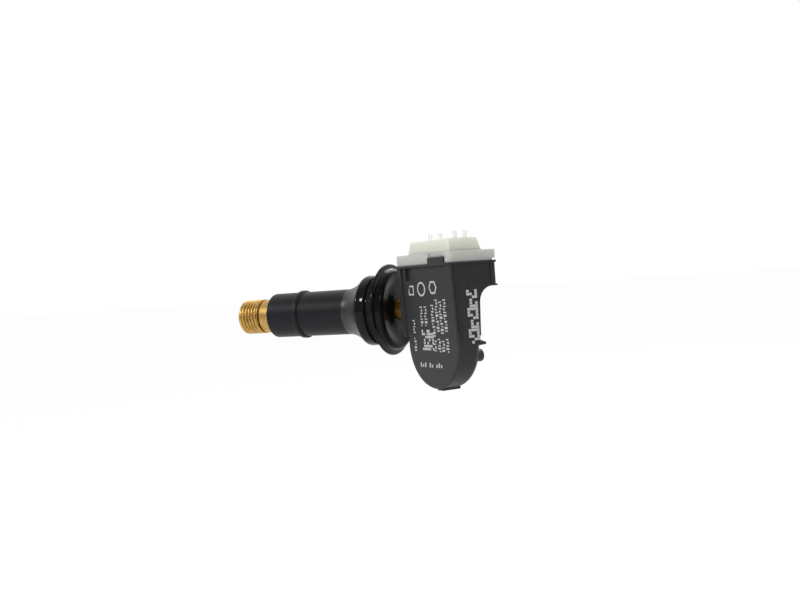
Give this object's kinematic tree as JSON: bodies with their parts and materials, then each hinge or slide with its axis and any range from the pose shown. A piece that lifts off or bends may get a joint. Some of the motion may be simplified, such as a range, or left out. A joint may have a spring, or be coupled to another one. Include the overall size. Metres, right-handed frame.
{
  "type": "tyre pressure sensor",
  "caption": "Snap-in tyre valve with a rubber body and brass tip, carrying a sealed pressure transmitter housing on its inner end.",
  "frame": {"origin": "on the valve axis, at the outer edge of the groove that grips the rim", "axes": "+X along the valve axis from the tip to the housing, +Z towards the lid"},
  "size_m": [0.0657, 0.0275, 0.0311],
  "materials": {
    "brass": "turned, lightly worn",
    "core_brass": "turned",
    "valve_rubber": "moulded, satin barrel and glossy seat",
    "core_rubber": "matte",
    "port_rubber": "silicone, matte",
    "seal_plastic": "smooth",
    "spring_steel": "drawn wire",
    "screw_steel": "zinc plated",
    "housing_plastic": "glass-filled, fine matte texture",
    "lid_plastic": "natural, translucent",
    "board": "solder mask",
    "cell_steel": "nickel plated",
    "tab_nickel": "rolled strip",
    "chip_plastic": "moulded epoxy",
    "ferrite": "sintered",
    "copper_wire": "enamelled",
    "ceramic": "fired"
  },
  "bodies": {
    "sensor": {"stem_brass": "brass", "stem_rubber": "valve_rubber", "core_plug": "core_brass", "core_barrel": "core_brass", "core_seal": "seal_plastic", "core_spring": "spring_steel", "screw": "screw_steel", "housing": "housing_plastic", "lid": "lid_plastic", "circuit_board": "board", "cell_can": "cell_steel", "cell_cap": "cell_steel", "cell_gasket": "seal_plastic", "tab_positive": "tab_nickel", "tab_negative": "tab_nickel", "sensor_chip": "chip_plastic", "chip_lid": "cell_steel", "port_seal": "port_rubber", "coil_core": "ferrite", "coil_winding": "copper_wire", "rf_antenna": "tab_nickel", "crystal": "cell_steel", "capacitors": "ceramic"},
    "valve_pin": {"core_pin": "core_brass", "core_cup": "core_brass", "core_gasket": "core_rubber"}
  },
  "joints": [
    {"name": "pin_slide", "type": "slide", "parent": "sensor", "child": "valve_pin", "axis": [1, 0, 0], "range_m": [0, 0.0012], "stiffness_N_per_m": 600, "springref_m": -0.0015, "deforming": ["core_spring"]}
  ]
}
